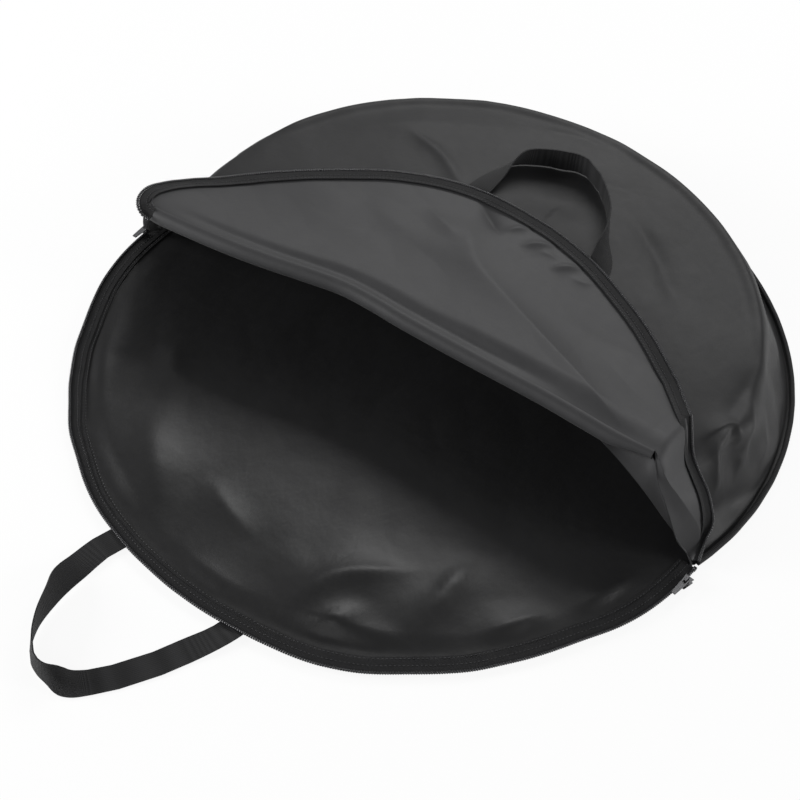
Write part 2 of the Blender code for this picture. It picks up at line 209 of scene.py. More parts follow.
class Surface:
    """A new material: its points, its own lengths, and its Principled shader."""

    def __init__(self, name, roughness=0.5, metallic=0.0, sheen=0.0, specular=0.5):
        self.material = bpy.data.materials.new(name)
        self.material.use_nodes = True
        tree = self.material.node_tree
        self.shader = tree.nodes["Principled BSDF"]
        settings = {
            "Roughness": roughness,
            "Metallic": metallic,
            "Sheen Weight": sheen,
            "Specular IOR Level": specular,
        }
        for name, value in settings.items():
            self.shader.inputs[name].default_value = value
        start = Wire(tree)
        self.point = start.node("ShaderNodeTexCoord", {}, "Object")
        self.along = start.node("ShaderNodeAttribute", {}, "Fac", attribute_name="along")
        self.across = start.node("ShaderNodeAttribute", {}, "Fac", attribute_name="across")

    def set(self, **values):
        """Wires values to the shader's sockets, whose names have a space for each underscore."""
        for name, value in values.items():
            value.tree.links.new(value.socket, self.shader.inputs[name.replace("_", " ")])
        return self.material


# %% [markdown]
# ## Floor and light
#
# The bag lies on a pale floor that looks white, with only a soft contact shadow. A plain white
# floor would turn grey away from the lamps, so the camera sees a glow mixed into it. The cloth
# shines only a little, so it takes large area lamps behind, at both sides and in front. Small
# lamps would give it hard spots.

# %% Floor and lamps
def flat_square(name, size, height):
    bm = bmesh.new()
    bmesh.ops.create_grid(bm, x_segments=1, y_segments=1, size=size / 2)
    mesh = bpy.data.meshes.new(name)
    bm.to_mesh(mesh)
    bm.free()
    thing = bpy.data.objects.new(name, mesh)
    thing.location.z = height
    bpy.context.scene.collection.objects.link(thing)
    return thing


floor = flat_square("floor", 60.0, -0.0002)
floor_look = Surface("pale floor", roughness=0.9, specular=0.1)
floor_look.shader.inputs["Base Color"].default_value = (0.86, 0.86, 0.86, 1)
tree = floor_look.material.node_tree
seen = floor_look.point.node("ShaderNodeLightPath", {}, "Is Camera Ray")
glow = tree.nodes.new("ShaderNodeEmission")
glow.inputs["Color"].default_value = (1, 1, 1, 1)
blend = tree.nodes.new("ShaderNodeMixShader")
tree.links.new((seen * 0.9).socket, blend.inputs[0])
tree.links.new(floor_look.shader.outputs[0], blend.inputs[1])
tree.links.new(glow.outputs[0], blend.inputs[2])
tree.links.new(blend.outputs[0], tree.nodes["Material Output"].inputs["Surface"])
floor.data.materials.append(floor_look.material)


LAMP_AIM = (0, 0, 0.05)


def lamp(name, place, width, height, power):
    """A soft lamp that faces the bag."""
    data = bpy.data.lights.new(name, "AREA")
    data.shape = "RECTANGLE"
    data.size, data.size_y, data.energy = width, height, power
    thing = bpy.data.objects.new(name, data)
    thing.location = place
    away = Vector(place) - Vector(LAMP_AIM)
    thing.rotation_euler = away.to_track_quat("Z", "Y").to_euler()
    bpy.context.scene.collection.objects.link(thing)


lamp("back soft box", (-0.7, 2.1, 1.75), width=2.0, height=0.9, power=36)
lamp("left soft box", (-1.9, -1.5, 0.85), width=1.1, height=0.9, power=64)
lamp("right soft box", (2.3, 1.2, 1.0), width=0.8, height=1.0, power=34)
lamp("front fill", (0.9, -2.2, 1.8), width=1.4, height=1.0, power=11)

world = bpy.data.worlds.new("studio")
world.use_nodes = True
background = world.node_tree.nodes["Background"]
background.inputs["Color"].default_value = (1, 1, 1, 1)
camera_ray = Wire(world.node_tree).node("ShaderNodeLightPath", {}, "Is Camera Ray")
world.node_tree.links.new((camera_ray * 0.72 + 0.24).socket, background.inputs["Strength"])
bpy.context.scene.world = world
print("the studio has", len(bpy.data.lights), "lamps")

# %% [markdown]
# ## Materials
#
# The cloth is a thin coated weave: dark, a little glossy, with fine creases. Tape is a matt
# twill, webbing has ribs across it, and the sliders are nickel. Bands carry their own lengths
# along and across in metres, and cloth takes its pattern from its place in the bag. Pictures
# could give the same grain, but noise and waves need no files and stay sharp from close by.

# %% Cloth, tape, webbing, teeth and metal
THREAD_COUNT = 7400.0


def coated_cloth(name, dark, light, roughness, crease, specular):
    """Coated woven cloth, with soft patches, fine crinkles and a faint weave."""
    look = Surface(name, sheen=0.03, specular=specular)
    point = look.point
    patches = point.noise(6.0, 3.0, 0.5)
    fine = point.noise(85.0, 4.0, 0.6, (1, 1.6, 1))
    warp = point.node("ShaderNodeSeparateXYZ", {0: point}, 0)
    weft = point.node("ShaderNodeSeparateXYZ", {0: point}, 1)
    weave = (warp * THREAD_COUNT).wave() * (weft * THREAD_COUNT).wave()
    share = patches * 0.5 + fine * 0.3 + weave * 0.12
    soft = point.noise(16.0, 2.0, 0.45).bump(0.3 * crease, 0.004)
    crinkle = point.noise(40.0, 4.0, 0.6, (1, 0.6, 1)).bump(0.34 * crease, 0.0022, soft)
    return look.set(
        Base_Color=share.mix(dark, light),
        Roughness=fine * 0.1 + patches * 0.1 + (roughness - 0.1),
        Normal=(weave * 0.6 + fine).bump(0.12, 0.0002, crinkle),
    )


def band_cloth(name, dark, light, roughness, ribs, slant):
    """Narrow woven band: ribs across its length, and a slant for twill."""
    look = Surface(name, sheen=0.05, specular=0.2)
    rows = (look.along * ribs + look.across * slant).wave()
    threads = (look.across * (ribs * 1.3) - look.along * (slant * 0.5)).wave()
    worn = look.point.noise(46.0, 3.0, 0.6)
    weave = rows * 0.65 + threads * 0.35
    return look.set(
        Base_Color=(weave * 0.6 + worn * 0.4).mix(dark, light),
        Roughness=worn * 0.12 + (roughness - 0.06),
        Normal=weave.bump(0.6, 0.0005),
    )


def plain(name, colour, roughness, metallic=0.0, grain=60.0):
    """Smooth stuff with a little wear."""
    look = Surface(name, metallic=metallic)
    worn = look.point.noise(grain, 4.0, 0.6)
    low = tuple(0.86 * part for part in colour)
    return look.set(
        Base_Color=worn.mix(low, colour),
        Roughness=worn * 0.16 + (roughness - 0.08),
        Normal=worn.bump(0.06, 0.0002),
    )


flap_cloth = coated_cloth(
    "coated cloth inside",
    dark=(0.0215, 0.0215, 0.0225), light=(0.0435, 0.0435, 0.0455),
    roughness=0.56, crease=0.6, specular=0.32,
)
dome_cloth = coated_cloth(
    "coated cloth outside",
    dark=(0.0064, 0.0064, 0.0068), light=(0.0156, 0.0156, 0.0165),
    roughness=0.53, crease=0.8, specular=0.26,
)
# The back panel's inside is the same coating as the flap's inside. Its far darker colour here is
# painted shade for the inside of the bag.
lining_painted_shade = coated_cloth(
    "coated lining",
    dark=(0.0045, 0.0045, 0.0048), light=(0.0105, 0.0105, 0.0111),
    roughness=0.44, crease=0.9, specular=0.38,
)
tape_cloth = band_cloth(
    "twill zip tape",
    dark=(0.0025, 0.0025, 0.0028), light=(0.01, 0.01, 0.011),
    roughness=0.68, ribs=4200.0, slant=2400.0,
)
binding_cloth = band_cloth(
    "binding tape",
    dark=(0.003, 0.003, 0.0033), light=(0.014, 0.014, 0.015),
    roughness=0.64, ribs=3000.0, slant=0.0,
)
webbing = band_cloth(
    "ribbed webbing",
    dark=(0.004, 0.004, 0.0043), light=(0.023, 0.023, 0.024),
    roughness=0.68, ribs=2500.0, slant=0.0,
)
thread = plain("sewing thread", (0.026, 0.026, 0.028), roughness=0.6)
teeth_stuff = plain("nylon teeth", (0.014, 0.014, 0.016), roughness=0.3)
nickel = plain("nickel plate", (0.13, 0.13, 0.134), roughness=0.38, metallic=1.0, grain=300.0)
print("materials:", ", ".join(sorted(m.name for m in bpy.data.materials)))

# %% [markdown]
# ## Tools for cloth
#
# A sheet starts as a grid, which is laid out by a function of two shares and then thickened. A
# path is a smooth curve through a few points, read off at equal steps. A cloth simulation could
# drop the sheets in place, but its folds fall where they like. Here each fold has a line of its
# own, where the real bag has it.

# %% Tools


def smooth_path(points, count):
    """count + 1 points at equal steps along a smooth curve through the given points."""
    given = np.array(points, float)
    padded = np.vstack([2 * given[0] - given[1], given, 2 * given[-1] - given[-2]])
    steps = np.linspace(0, 1, 24, endpoint=False)[:, None]
    dense = []
    for a, b, c, d in zip(padded, padded[1:], padded[2:], padded[3:]):
        dense.append(
            0.5 * (2 * b + (c - a) * steps + (2 * a - 5 * b + 4 * c - d) * steps**2
                   + (3 * b - 3 * c + d - a) * steps**3)
        )
    dense = np.vstack(dense + [given[-1:]])
    run = np.concatenate([[0], np.cumsum(np.linalg.norm(np.diff(dense, axis=0), axis=1))])
    at = np.linspace(0, run[-1], count + 1)
    return np.stack([np.interp(at, run, dense[:, k]) for k in range(dense.shape[1])], axis=1)


class Path:
    """A smooth path that can be read at any share of its length."""

    def __init__(self, points, count=400):
        self.points = smooth_path(points, count)
        self.count = count
        steps = np.linalg.norm(np.diff(self.points, axis=0), axis=1)
        self.length = float(steps.sum())

    def at(self, share):
        place = min(max(share, 0.0), 1.0) * self.count
        low = min(int(place), self.count - 1)
        return between(self.points[low], self.points[low + 1], place - low)


def grid(columns, rows, place, length, width):
    """A grid laid out by place(share along, share across), which knows its lengths in metres."""
    bm = bmesh.new()
    along = bm.verts.layers.float.new("along")
    across = bm.verts.layers.float.new("across")
    bmesh.ops.create_grid(bm, x_segments=columns, y_segments=rows, size=1)
    for vertex in bm.verts:
        share_along, share_across = (vertex.co.x + 1) / 2, (vertex.co.y + 1) / 2
        vertex[along] = share_along * length
        vertex[across] = share_across * width
        vertex.co = place(share_along, share_across)
    return bm


def thicken(bm, thickness):
    """Turns a drawn sheet's face up, and gives the sheet its thickness below that face."""
    bm.normal_update()
    if sum(face.normal.z * face.calc_area() for face in bm.faces) < 0:
        bmesh.ops.reverse_faces(bm, faces=bm.faces)
        bm.normal_update()
    side = bm.verts.layers.float_vector.new("side")
    for vertex in bm.verts:
        vertex[side] = vertex.normal
    raised = bmesh.ops.extrude_face_region(bm, geom=bm.faces[:])["geom"]
    for item in raised:
        if isinstance(item, bmesh.types.BMVert):
            item.co -= Vector(item[side]) * thickness
    bm.verts.layers.float_vector.remove(side)
    return bm


def piece(name, bm, material, body=None, bend=None, stands_for=(), under=None):
    """Puts a bmesh in the scene on its body, or baked in place where a bend is given, and hides the
    CAD parts that it stands for.

    Faces that look down at rest take the material under, where one is given.
    """
    bmesh.ops.recalc_face_normals(bm, faces=bm.faces)
    mesh = bpy.data.meshes.new(name)
    bm.to_mesh(mesh)
    bm.free()
    mesh.shade_smooth()
    mesh.set_sharp_from_angle(angle=radians(50))
    mesh.materials.append(material)
    if under:
        mesh.materials.append(under)
        for face in mesh.polygons:
            face.material_index = int(face.normal.z < 0)
    thing = bpy.data.objects.new(name, mesh)
    bpy.context.scene.collection.objects.link(thing)
    if bend:
        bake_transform(thing)
    else:
        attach(thing, body)
    if stands_for:
        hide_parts(*stands_for)
    return thing


def ripple(x, y, scale, seed=0.0):
    """Soft noise from about -1 to 1."""
    return noise.noise(Vector((x * scale, y * scale, seed)))


class FoldLine:
    """A soft fold along a curve, with its own slope on its left and on its right.

    It fades out towards both ends of its line, and is nothing far away from it.
    """

    def __init__(self, points, height, left, right, rounding=0.003):
        line = smooth_path(points, 24)
        self.starts, self.runs = line[:-1], np.diff(line, axis=0)
        self.height, self.left, self.right, self.rounding = height, left, right, rounding
        self.middle = line.mean(axis=0)
        self.reach = float(np.hypot(*(line - self.middle).T).max()) + 5 * max(left, right)

    def at(self, x, y):
        near = smooth_step(3 * (1 - hypot(x - self.middle[0], y - self.middle[1]) / self.reach))
        if near == 0:
            return 0.0
        gaps = (x, y) - self.starts
        shares = (gaps * self.runs).sum(axis=1) / (self.runs**2).sum(axis=1)
        gaps = gaps - self.runs * np.clip(shares, 0, 1)[:, None]
        sizes = np.hypot(gaps[:, 0], gaps[:, 1])
        nearest = int(np.argmin(sizes))
        run, gap, away = self.runs[nearest], gaps[nearest], sizes[nearest]
        share = (nearest + min(max(shares[nearest], 0.0), 1.0)) / len(sizes)
        ends = smooth_step(share / 0.45) * smooth_step((1 - share) / 0.45)
        cross = run[0] * gap[1] - run[1] * gap[0]
        turned = cross / max(away, 1e-9) * min(away / 0.004, 1.0)
        width = between(self.right, self.left, smooth_step(0.5 + turned / 2))
        size = sqrt(away**2 + self.rounding**2) - self.rounding
        return self.height * ends * near * exp(-size / width)


STITCH_LENGTH, STITCH_WIDTH, STITCH_PITCH = 0.0026, 0.0005, 0.0042


def stitches(name, spots, body=None, bend=None):
    """Short stitches of thread. Each spot is a place and the direction that the seam runs in."""
    bm = bmesh.new()
    for place, direction in spots:
        run = Vector(direction).normalized()
        side = run.cross(Vector((0, 0, 1))).normalized()
        turned = Matrix((run, side, run.cross(side))).transposed().to_4x4()
        shape = Matrix.Diagonal((STITCH_LENGTH / 2, STITCH_WIDTH, STITCH_WIDTH * 0.7, 1))
        matrix = Matrix.Translation(Vector(place)) @ turned @ shape
        bmesh.ops.create_icosphere(bm, subdivisions=1, radius=1, matrix=matrix)
    return piece(name, bm, thread, body, bend)


# %% [markdown]
# ## The back panel
#
# One round of cloth that lies on the floor. It is coloured darker than the same coating on the
# flap, which is painted shade for the inside of the bag. Inside the zip's rim it lifts in a few
# soft folds, and it stays flat under the rim, where the sliders run. A disc with noise on it would
# have the right outline, but its swells would have no direction, so each fold is drawn as a line
# with a height and a width on each side.

# %% Back panel


RIM_SWAYS = [(3.77, 0.34, -0.006), (5.17, 0.22, 0.0055), (5.79, 0.22, -0.0055)]


def rim_sway(angle):
    """How far the sewn rim wanders from its circle, away from the sliders."""
    free = smooth_step((-sin(angle) - 0.15) / 0.25)
    turn = angle % (2 * pi)
    sway = sum(size * exp(-(((turn - middle) / spread) ** 2)) for middle, spread, size in RIM_SWAYS)
    return free * (sway + 0.0016 * ripple(cos(angle), sin(angle), 7.0, 12.0))


def panel_reach(angle):
    """How far the back panel reaches from the middle between its two circles."""
    x, y = cos(angle), sin(angle)
    middle = SEAM_SETBACK / 2
    near_radius = NEAR_RADIUS + rim_sway(atan2(y, x))
    near = -middle * y + sqrt((middle * y) ** 2 - middle**2 + near_radius**2)
    far = middle * y + sqrt((middle * y) ** 2 - middle**2 + (SEAM_RADIUS - 0.0012) ** 2)
    return near if middle + near * y < 0 else far


# Points of each fold, then its height, its widths on its left and right, and its rounding.
SOFT_FOLDS = [
    FoldLine(
        [(0.08, -0.331), (0.096, -0.288), (0.107, -0.255), (0.133, -0.222), (0.172, -0.18)],
        0.011, 0.034, 0.01,
    ),
    FoldLine(
        [(0.098, -0.34), (0.127, -0.312), (0.14, -0.284), (0.152, -0.25)],
        0.0085, 0.018, 0.008,
    ),
    FoldLine(
        [(-0.04, -0.35), (-0.012, -0.35), (0.026, -0.345), (0.068, -0.335)],
        0.011, 0.009, 0.016,
    ),
    FoldLine(
        [(-0.178, -0.205), (-0.142, -0.246), (-0.104, -0.284), (-0.066, -0.318)],
        0.008, 0.03, 0.02, 0.012,
    ),
    FoldLine([(0.118, -0.329), (0.16, -0.303), (0.204, -0.268)], 0.0075, 0.02, 0.008),
    FoldLine(
        [(0.186, -0.13), (0.193, -0.16), (0.198, -0.205), (0.201, -0.262)],
        0.01, 0.01, 0.03,
    ),
    FoldLine([(0.246, -0.222), (0.262, -0.19), (0.286, -0.136)], 0.006, 0.016, 0.012),
    FoldLine([(0.3, -0.13), (0.316, -0.09), (0.324, -0.045)], 0.005, 0.012, 0.01),
    FoldLine(
        [(-0.322, -0.11), (-0.29, -0.172), (-0.24, -0.232), (-0.205, -0.262)],
        0.005, 0.014, 0.01,
    ),
    FoldLine([(-0.075, -0.24), (-0.02, -0.262), (0.03, -0.268)], 0.004, 0.022, 0.016),
    FoldLine([(-0.23, -0.12), (-0.19, -0.17), (-0.17, -0.2)], 0.0045, 0.026, 0.016),
]


def ridge_line(x, y, fold):
    """Height of one soft fold at a point: a rounded ridge that fades at its ends."""
    x0, y0, x1, y1, height, width = fold
    dx, dy = x1 - x0, y1 - y0
    size = hypot(dx, dy)
    run = ((x - x0) * dx + (y - y0) * dy) / size**2
    side = ((x - x0) * dy - (y - y0) * dx) / size + 0.004 * sin(run * 4)
    ends = smooth_step((run + 0.45) / 0.7) * smooth_step((1.45 - run) / 0.7)
    wide = width * between(0.7, 1.5, min(max(run, 0.0), 1.0))
    soft = sqrt(side**2 + (0.35 * width) ** 2) - 0.35 * width
    return height * ends * exp(-soft / wide)


def back_place(share_round, share_out):
    angle = share_round * 2 * pi
    reach = panel_reach(angle) * share_out**0.8
    x, y = reach * cos(angle), SEAM_SETBACK / 2 + reach * sin(angle)
    inside = smooth_step((NEAR_RADIUS - 0.016 - hypot(x, y)) / 0.022)
    open_half = smooth_step((0.06 - y) / 0.1)
    swell = ripple(x, y, 5.5, 3.1) + 0.3
    soft = 0.0021 * (swell + sqrt(swell**2 + 0.03))
    soft += 0.0012 * abs(ripple(x + 0.3 * y, y, 16.0, 7.7))
    folds = sum(fold.at(x, y) for fold in SOFT_FOLDS)
    return x, y, CLOTH + inside * (soft + open_half * folds)


bm = grid(288, 96, back_place, 2.2, 0.36)
bmesh.ops.remove_doubles(bm, verts=bm.verts, dist=0.00002)
# The back panel takes the darker colour, which is painted shade.
back_cloth = piece(
    "back_cloth", thicken(bm, SHEET), lining_painted_shade, "bag", stands_for=["back_panel"]
)
print("the back cloth has", len(back_cloth.data.polygons), "faces")

# %% [markdown]
# ## The closed half of the front panel
#
# The cloth rises from the sewn seam, over a rounded ridge, and runs nearly level to the
# mouth. Its mouth edge climbs from each end of the zip to the fold. The sheet could be sculpted,
# but the flap and a handle lie on it, so its height is a formula that they can ask too.

# %% Closed half
# Points in metres, from each end of the zip up to the fold and down again.
MOUTH_LEFT = [
    (-0.359, -0.006, 0.007), (-0.3524, -0.0325, 0.022), (-0.3422, -0.0435, 0.042),
    (-0.3296, -0.0553, 0.064), (-0.3176, -0.065, 0.084), (-0.3083, -0.0677, 0.0945),
]
MOUTH_RIGHT = [
    (0.2449, -0.0073, 0.094), (0.2865, -0.0101, 0.075), (0.315, -0.0041, 0.046),
    (0.34, 0.003, 0.018), (0.3585, -0.004, 0.007),
]
FOLD_LINE = [
    (-0.33, -0.0045), (-0.29, -0.0045), (-0.225, -0.0015), (-0.17, 0.004), (-0.122, 0.0115),
    (-0.082, 0.0165), (-0.045, 0.015), (0.0, 0.01), (0.08, 0.0045), (0.16, 0.0),
    (0.205, -0.0045), (0.245, -0.0085), (0.288, -0.0095),
]
fold_line = smooth_path(FOLD_LINE, 300)


def fold_sway(along):
    """How far back the fold's line bows from straight."""
    return float(np.interp(along, fold_line[:, 0], fold_line[:, 1]))


def under_fold(along):
    x, y = fold_to_plan(along, fold_sway(along) + 0.001)
    return x, y, FOLD_HEIGHT - ROLL_RADIUS + 0.0008


fold_middle = [under_fold(-0.28 + 0.49 * step / 16) for step in range(17)]
mouth = Path(MOUTH_LEFT + fold_middle + MOUTH_RIGHT, 900)
SEAM_END = 0.229
LEFT_SEAM = pi + SEAM_END
RIGHT_SEAM = -SEAM_END


def seam_place(share):
    angle = between(LEFT_SEAM, RIGHT_SEAM, share)
    return SEAM_RADIUS * cos(angle), SEAM_SETBACK + SEAM_RADIUS * sin(angle)


# Start and end of each fold in plan, then its height and its width.
DOME_FOLDS = [
    (-0.18, 0.238, -0.099, 0.207, 0.004, 0.007),
    (0.1, 0.284, 0.204, 0.196, -0.005, 0.015),
    (0.15, 0.2, 0.215, 0.12, -0.003, 0.014),
    (-0.23, 0.23, -0.12, 0.33, 0.003, 0.02),
    (-0.078, 0.363, -0.002, 0.387, 0.0025, 0.012),
    (-0.02, 0.3, 0.06, 0.34, 0.002, 0.012),
]
CRUMPLES = [
    FoldLine(
        [(0.303, 0.07), (0.305, 0.096), (0.311, 0.114), (0.322, 0.114), (0.333, 0.098)],
        0.0065, 0.007, 0.01, 0.0012,
    ),
    FoldLine(
        [(0.306, 0.178), (0.318, 0.148), (0.336, 0.112), (0.352, 0.072)],
        0.006, 0.008, 0.01, 0.0015,
    ),
    FoldLine([(0.322, 0.182), (0.34, 0.15), (0.352, 0.118)], 0.005, 0.007, 0.007, 0.0015),
    FoldLine([(0.313, 0.09), (0.324, 0.074), (0.34, 0.052)], 0.005, 0.006, 0.006, 0.0012),
    FoldLine([(0.33, 0.13), (0.338, 0.112), (0.333, 0.092)], 0.004, 0.005, 0.006, 0.0012),
    FoldLine(
        [(0.287, 0.215), (0.302, 0.175), (0.306, 0.132), (0.302, 0.095)],
        -0.004, 0.012, 0.012, 0.004,
    ),
]
DIP_POINTS = [(0.005, 0.235), (0.04, 0.29), (0.075, 0.25)]
LOOP_DIP = FoldLine([fold_to_plan(*point) for point in DIP_POINTS], -0.006, 0.03, 0.03, 0.015)
SKIRT_CRUMPLES = 0.0034
SHOULDER_REACH, SHOULDER_HEIGHT, SHOULDER_WIDTH = 0.3165, 0.0034, 0.0085
CORNER_SHARE = 0.16


def dome_relief(x, y):
    """Soft swells, the ridge's shoulder and the folds, which fade out under the flap."""
    wave = -0.003 * abs(ripple(x, y, 5.0, 1.3)) - 0.001 * abs(ripple(x + y, y, 13.0, 5.5))
    reach = hypot(x, y - SEAM_SETBACK)
    shoulder = SHOULDER_HEIGHT * exp(-(((reach - SHOULDER_REACH) / SHOULDER_WIDTH) ** 2))
    folds = sum(ridge_line(x, y, fold) for fold in DOME_FOLDS) + LOOP_DIP.at(x, y)
    clear = smooth_step((plan_to_fold(x, y)[1] - 0.19) / 0.05)
    return wave + clear * (shoulder + folds) - 0.0006


def dome_place(share_along, share_back):
    start = mouth.at(share_along)
    far_x, far_y = seam_place(share_along)
    run = 1 - (1 - share_back) ** 1.7
    x, y = between(start[0], far_x, run), between(start[1], far_y, run)
    level = closed_half_height(x, y)
    corner = max(1 - share_along / CORNER_SHARE, 1 - (1 - share_along) / CORNER_SHARE, 0)
    arch = SEAM_HEIGHT + (start[2] - SEAM_HEIGHT) * (1 - run) ** 1.15
    height = between(level, arch, smooth_step(corner * 1.3))
    height = between(start[2], height, smooth_step(run / 0.14))
    loose = smooth_step(run / 0.2) * smooth_step((1 - run) / 0.05)
    reach, turn = hypot(x, y - SEAM_SETBACK), atan2(y - SEAM_SETBACK, x)
    skirt = smooth_step((reach - 0.315) / 0.02)
    skirt *= smooth_step((SEAM_RADIUS - 0.003 - reach) / 0.012)
    right_side = 1 + 1.6 * exp(-(((turn - 0.15) / 0.35) ** 2))
    spot = Vector((turn * 6.5 + height * 9, height * 26, 2.2))
    swell = SKIRT_CRUMPLES * right_side * noise.noise(spot)
    crumples = sum(fold.at(x, y) for fold in CRUMPLES)
    out = 1 + loose * (skirt * swell + crumples * 0.7) / max(reach, 0.01)
    rise = loose * (dome_relief(x, y) + crumples * 0.7)
    return x * out, SEAM_SETBACK + (y - SEAM_SETBACK) * out, height + rise


bm = grid(340, 140, dome_place, mouth.length, 0.6)
front_cloth = piece(
    "front_cloth", thicken(bm, SHEET), dome_cloth, "bag", stands_for=["front_panel"]
)
print("the closed half has", len(front_cloth.data.polygons), "faces")

# %% [markdown]
# ## The fold
#
# The cloth rolls over at the fold. A pipe along the fold would do from afar, but a strip round part
# of a circle joins both cloths and hides nothing inside.

# %% Fold roll
ROLL_START, ROLL_END = -0.317, 0.285


def roll_radius(along):
    """The roll is fullest in its middle and pinches at both ends."""
    left = between(0.8, 1.0, smooth_step((along - ROLL_START) / 0.022))
    right = between(0.5, 1.0, smooth_step((ROLL_END - along) / 0.05))
    return ROLL_RADIUS * left * right


def roll_place(share_along, share_round):
    along = between(ROLL_START, ROLL_END, share_along)
    angle = radians(between(286, 78, share_round))
    radius = roll_radius(along) * (1 + 0.06 * ripple(along, 0.2, 14.0, 4.0))
    x, y = fold_to_plan(along, radius * cos(angle) + fold_sway(along))
    middle = FOLD_HEIGHT + (ROLL_RADIUS - roll_radius(along)) * 0.9
    return x, y, middle + radius * sin(angle)


bm = grid(260, 20, roll_place, 0.62, 0.03)
roll_foot = (*fold_to_plan(0, 0), FOLD_HEIGHT - ROLL_RADIUS)
roll_top = (*fold_to_plan(0, 0), FOLD_HEIGHT + ROLL_RADIUS)
roll_bend = ("bag", "flap", roll_foot, roll_top)
fold_roll = piece("fold_roll", thicken(bm, SHEET), flap_cloth, bend=roll_bend)
print("the roll has", len(fold_roll.data.polygons), "faces")

# %% [markdown]
# ## The flap
#
# The flap lies back from the fold over the crown, with a soft ridge across it. It is one cloth with
# the closed half, and could be one mesh with it, but it turns on the fold, so it starts afresh
# there, under the roll.

# %% Flap
# Points along the fold and back from it, in metres.
EDGE_POINTS = [
    (-0.302, -0.0122), (-0.31, -0.0115), (-0.317, -0.0072), (-0.3225, 0.002),
    (-0.3245, 0.017), (-0.32, 0.034), (-0.312, 0.053), (-0.3, 0.074),
    (-0.266, 0.111), (-0.2205, 0.147), (-0.173, 0.179),
    (-0.1255, 0.206), (-0.073, 0.2245), (-0.0225, 0.2305), (0.024, 0.2265), (0.077, 0.214),
    (0.134, 0.191), (0.2, 0.15), (0.2525, 0.1054), (0.2669, 0.0906), (0.2909, 0.0593),
]
edge = Path(EDGE_POINTS, 700)
RIDGE_POINTS = [
    (-0.0417, 0.2032), (-0.0145, 0.1616), (0.0163, 0.1217), (0.0605, 0.0962),
    (0.1073, 0.0727), (0.1718, 0.0407), (0.2309, 0.0074), (0.2701, -0.0114),
    (0.285, -0.008),
]
ridge = smooth_path(RIDGE_POINTS, 80)
FLAP_RIDGE_HEIGHT = 0.0115
FLAP_GAP = 0.0006 + CLOTH + 0.0016
GROOVE_BACK, GROOVE_WIDTH = 0.0125, 0.0065
FLAP_FOLDS = [
    FoldLine([(-0.075, 0.18), (-0.04, 0.16), (-0.008, 0.14)], 0.003, 0.012, 0.01),
    FoldLine([(-0.03, 0.222), (-0.005, 0.204), (0.022, 0.178)], -0.007, 0.008, 0.01, 0.002),
    FoldLine([(-0.22, 0.105), (-0.13, 0.098), (-0.05, 0.085)], 0.003, 0.03, 0.022, 0.01),
    FoldLine([(-0.14, 0.155), (-0.09, 0.135), (-0.04, 0.12)], 0.0025, 0.02, 0.016, 0.008),
]
PUCKERS = [
    FoldLine([(0.016, 0.186), (0.026, 0.2), (0.042, 0.214)], 0.0046, 0.0065, 0.0035, 0.0012),
    FoldLine([(0.04, 0.176), (0.058, 0.192), (0.078, 0.204)], 0.005, 0.008, 0.004, 0.0012),
    FoldLine([(0.084, 0.164), (0.098, 0.178), (0.116, 0.19)], 0.0046, 0.008, 0.0035, 0.0012),
    FoldLine([(0.062, 0.182), (0.078, 0.186), (0.092, 0.18)], 0.0018, 0.004, 0.005, 0.001),
    FoldLine([(0.106, 0.168), (0.124, 0.17), (0.136, 0.178)], 0.0018, 0.004, 0.005, 0.001),
]


def ridge_height(along, depth):
    """The ridge across the flap: a long slow rise before it, a steeper fall behind it."""
    starts, runs = ridge[:-1], np.diff(ridge, axis=0)
    from_starts = (along, depth) - starts
    shares = np.clip((from_starts * runs).sum(axis=1) / (runs**2).sum(axis=1), 0, 1)
    gaps = from_starts - runs * shares[:, None]
    sizes = np.hypot(gaps[:, 0], gaps[:, 1])
    nearest = int(np.argmin(sizes))
    run, gap = runs[nearest], from_starts[nearest]
    behind = run[0] * gap[1] - run[1] * gap[0] > 0
    share = (nearest + shares[nearest]) / len(runs)
    width = between(0.034, 0.016, share) if behind else between(0.07, 0.05, share)
    sharpness = between(0.008, 0.0008, smooth_step(share * 1.6))
    size = sqrt(sizes[nearest] ** 2 + sharpness**2) - sharpness
    fade = smooth_step(share / 0.2) * between(1.0, 0.5, smooth_step((share - 0.4) / 0.6))
    return FLAP_RIDGE_HEIGHT * fade * exp(-size / width)


def flap_height(along, depth):
    """Height of the flap's upper face at a point of the fold's plan."""
    x, y = fold_to_plan(along, depth)
    lying = crown_height(x, y) + FLAP_GAP
    back = depth - fold_sway(along)
    round_front = sqrt(max(1 - (min(back, 0.0) / ROLL_RADIUS) ** 2, 0.0))
    rolled = FOLD_HEIGHT + ROLL_RADIUS * round_front
    level = between(max(rolled, lying), lying, smooth_step(depth / ROLL_LENGTH))
    away = smooth_step(back / 0.03)
    deep = -0.0028 - 0.0018 * ripple(along, 0.5, 9.0, 6.6)
    groove = deep * exp(-(((back - GROOVE_BACK) / GROOVE_WIDTH) ** 2))
    groove *= smooth_step((along + 0.3) / 0.08)
    groove *= smooth_step((0.2 - along) / 0.14) * smooth_step(back / 0.006)
    wave = 0.0022 * abs(ripple(along, depth, 6.0, 9.1))
    wave += 0.0007 * abs(ripple(along + depth, depth, 17.0, 2.2))
    folds = sum(fold.at(along, depth) for fold in FLAP_FOLDS)
    folds += sum(fold.at(along, depth) for fold in PUCKERS)
    return level + groove + away * (wave + ridge_height(along, depth) + folds)


def flap_place(share_along, share_out):
    far = edge.at(share_along)
    near_along = between(ROLL_START - 0.002, ROLL_END, share_along)
    near = (near_along, fold_sway(near_along) + 0.0015)
    along, depth = between(near[0], far[0], share_out), between(near[1], far[1], share_out)
    x, y = fold_to_plan(along, depth)
    return x, y, flap_height(along, depth)


